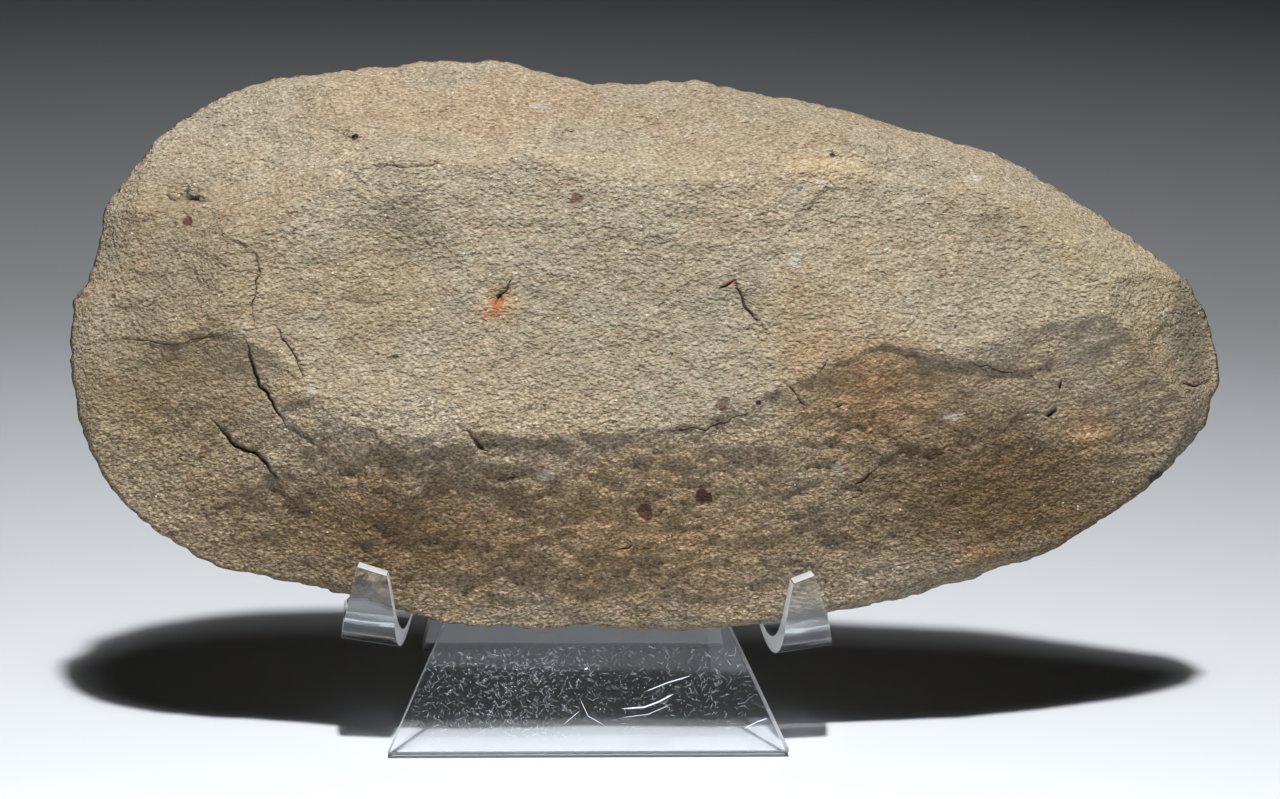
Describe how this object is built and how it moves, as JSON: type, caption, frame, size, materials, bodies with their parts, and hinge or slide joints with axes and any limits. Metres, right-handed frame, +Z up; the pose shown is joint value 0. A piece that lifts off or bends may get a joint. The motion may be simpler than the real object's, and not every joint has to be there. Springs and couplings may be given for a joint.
{
  "type": "stone celt on display stand",
  "caption": "Knapped stone celt, a broad biface of coarse sandstone, leaning in the hooks of a clear easel bent from one sheet.",
  "frame": {"origin": "on the table, at the middle of the bottom of the part's box, between the two feet", "axes": "+X along the celt to its narrow end, to the viewer's right; +Y away from the viewer; +Z up"},
  "size_m": [0.2038, 0.0606, 0.1147],
  "materials": {
    "sandstone": null,
    "clear_acrylic": "clear acrylic sheet, polished faces with fine scratches, sawn matte edges"
  },
  "bodies": {
    "root": {"celt": "sandstone", "display_stand": "clear_acrylic"}
  },
  "joints": []
}
